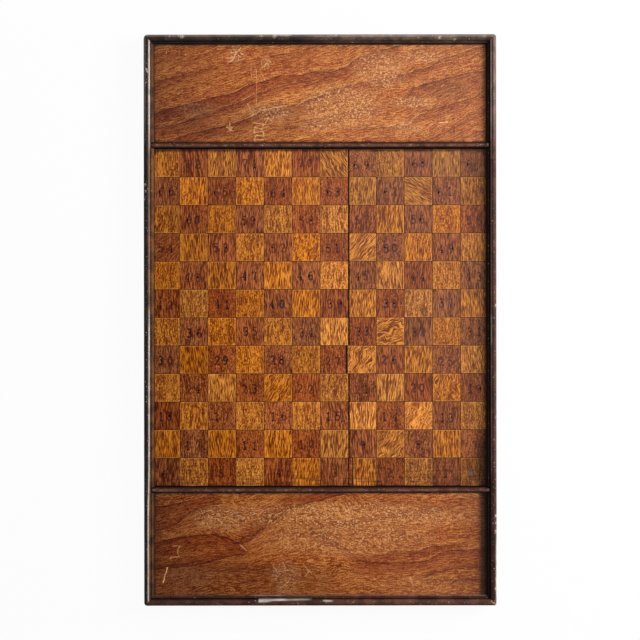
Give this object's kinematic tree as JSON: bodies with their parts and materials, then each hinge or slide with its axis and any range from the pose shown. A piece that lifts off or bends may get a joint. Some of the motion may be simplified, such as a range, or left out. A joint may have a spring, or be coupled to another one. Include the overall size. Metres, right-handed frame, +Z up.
{
  "type": "draughts board",
  "caption": "Rectangular draughts board with a checkered field of wooden squares, a tray for captured pieces at each end and a moulded frame.",
  "frame": {"origin": "middle of the underside", "axes": "+X across the board to the right, +Y along the board to its top end, +Z up from the field"},
  "size_m": [0.438, 0.7094, 0.0254],
  "materials": {
    "oak_light": "aged satin varnish",
    "oak_dark": "stained, aged satin varnish",
    "tray_wood": "stained, worn satin varnish",
    "frame_paint": "worn gloss paint",
    "base_wood": "bare softwood",
    "brad_steel": "dull"
  },
  "bodies": {
    "root": {"base_panel": "base_wood", "top_tray_floor": "tray_wood", "bottom_tray_floor": "tray_wood", "left_rail": "frame_paint", "right_rail": "frame_paint", "top_rail": "frame_paint", "bottom_rail": "frame_paint", "top_divider": "frame_paint", "bottom_divider": "frame_paint", "filler_strip": "oak_dark", "rail_brads": "brad_steel", "mitre_brads": "brad_steel", "divider_brads": "brad_steel", "row_01_light": "oak_light", "row_01_dark": "oak_dark", "row_02_light": "oak_light", "row_02_dark": "oak_dark", "row_03_light": "oak_light", "row_03_dark": "oak_dark", "row_04_light": "oak_light", "row_04_dark": "oak_dark", "row_05_light": "oak_light", "row_05_dark": "oak_dark", "row_06_light": "oak_light", "row_06_dark": "oak_dark", "row_07_light": "oak_light", "row_07_dark": "oak_dark", "row_08_light": "oak_light", "row_08_dark": "oak_dark", "row_09_light": "oak_light", "row_09_dark": "oak_dark", "row_10_light": "oak_light", "row_10_dark": "oak_dark", "row_11_light": "oak_light", "row_11_dark": "oak_dark", "row_12_light": "oak_light", "row_12_dark": "oak_dark"}
  },
  "joints": []
}
